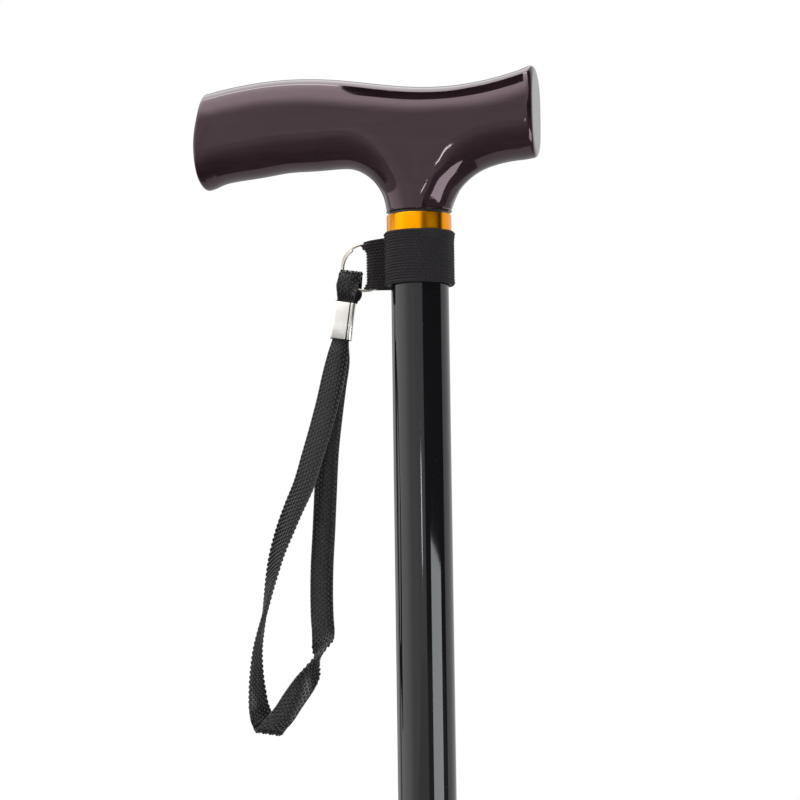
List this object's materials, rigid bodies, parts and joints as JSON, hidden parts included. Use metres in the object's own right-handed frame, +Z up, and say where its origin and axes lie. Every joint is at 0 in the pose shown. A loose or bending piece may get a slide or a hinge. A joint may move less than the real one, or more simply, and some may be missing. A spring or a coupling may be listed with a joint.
{
  "type": "walking cane",
  "caption": "Height-adjustable walking cane with a dark wooden T-handle, an amber collar, a black tubular shaft, a rubber tip and a wrist strap on a split ring.",
  "frame": {"origin": "centre of the rubber tip's sole, on the shaft's axis, where the cane meets the ground", "axes": "+Z up the shaft to the handle, +X towards the handle's beak, -Y towards the snap button and the picture's camera side"},
  "size_m": [0.1323, 0.038, 0.8643],
  "materials": {
    "lacquered_wood": "dark mahogany stain under clear gloss lacquer",
    "amber_anodised": "bright amber anodised",
    "black_anodised": "gloss black",
    "satin_aluminium": "satin",
    "zinc_steel": "zinc plated",
    "nickel": "nickel plated",
    "black_nylon": "moulded matte",
    "black_rubber": "moulded matte",
    "black_elastic": "knitted elastic",
    "black_webbing": "woven webbing"
  },
  "bodies": {
    "upper_shaft": {"handle": "lacquered_wood", "handle_stud": "zinc_steel", "shaft_plug": "black_nylon", "plug_pin": "zinc_steel", "neck_washer": "black_nylon", "collar": "amber_anodised", "upper_tube": "black_anodised", "collet": "black_nylon"},
    "lock_ring": {"lock_ring": "black_nylon"},
    "lower_shaft": {"lower_tube": "satin_aluminium", "guide_bush": "black_nylon", "button_spring": "zinc_steel", "ferrule_washer": "zinc_steel", "ferrule": "black_rubber"},
    "button": {"snap_button": "zinc_steel"},
    "band": {"shaft_band": "black_elastic", "ring_tab": "black_elastic"},
    "ring": {"split_ring": "nickel"},
    "strap": {"wrist_strap": "black_webbing", "strap_crimp": "nickel"}
  },
  "joints": [
    {"name": "height_slide", "type": "slide", "parent": "upper_shaft", "child": "lower_shaft", "axis": [0, 0, 1], "range_m": [-0.075, 0.075]},
    {"name": "button_press", "type": "slide", "parent": "lower_shaft", "child": "button", "axis": [0, 1, 0], "range_m": [0, 0.0033], "stiffness_N_per_m": 300, "springref_m": -0.003, "deforming": ["button_spring"]},
    {"name": "lock_turn", "type": "hinge", "parent": "upper_shaft", "child": "lock_ring", "pos_m": [0, 0, 0.285], "axis": [0, 0, 1], "range_deg": [0, 200]},
    {"name": "band_turn", "type": "hinge", "parent": "upper_shaft", "child": "band", "pos_m": [0, 0, 0.792], "axis": [0, 0, 1], "continuous": true},
    {"name": "ring_spin", "type": "hinge", "parent": "band", "child": "ring", "pos_m": [-0.02232, 0.00531, 0.7897], "axis": [-0.1908, 0.9816, 0], "continuous": true},
    {"name": "strap_swing", "type": "hinge", "parent": "band", "child": "strap", "pos_m": [-0.02837, 0.00414, 0.78313], "axis": [0.7161, 0.1392, -0.684], "range_deg": [-45, 45]}
  ]
}
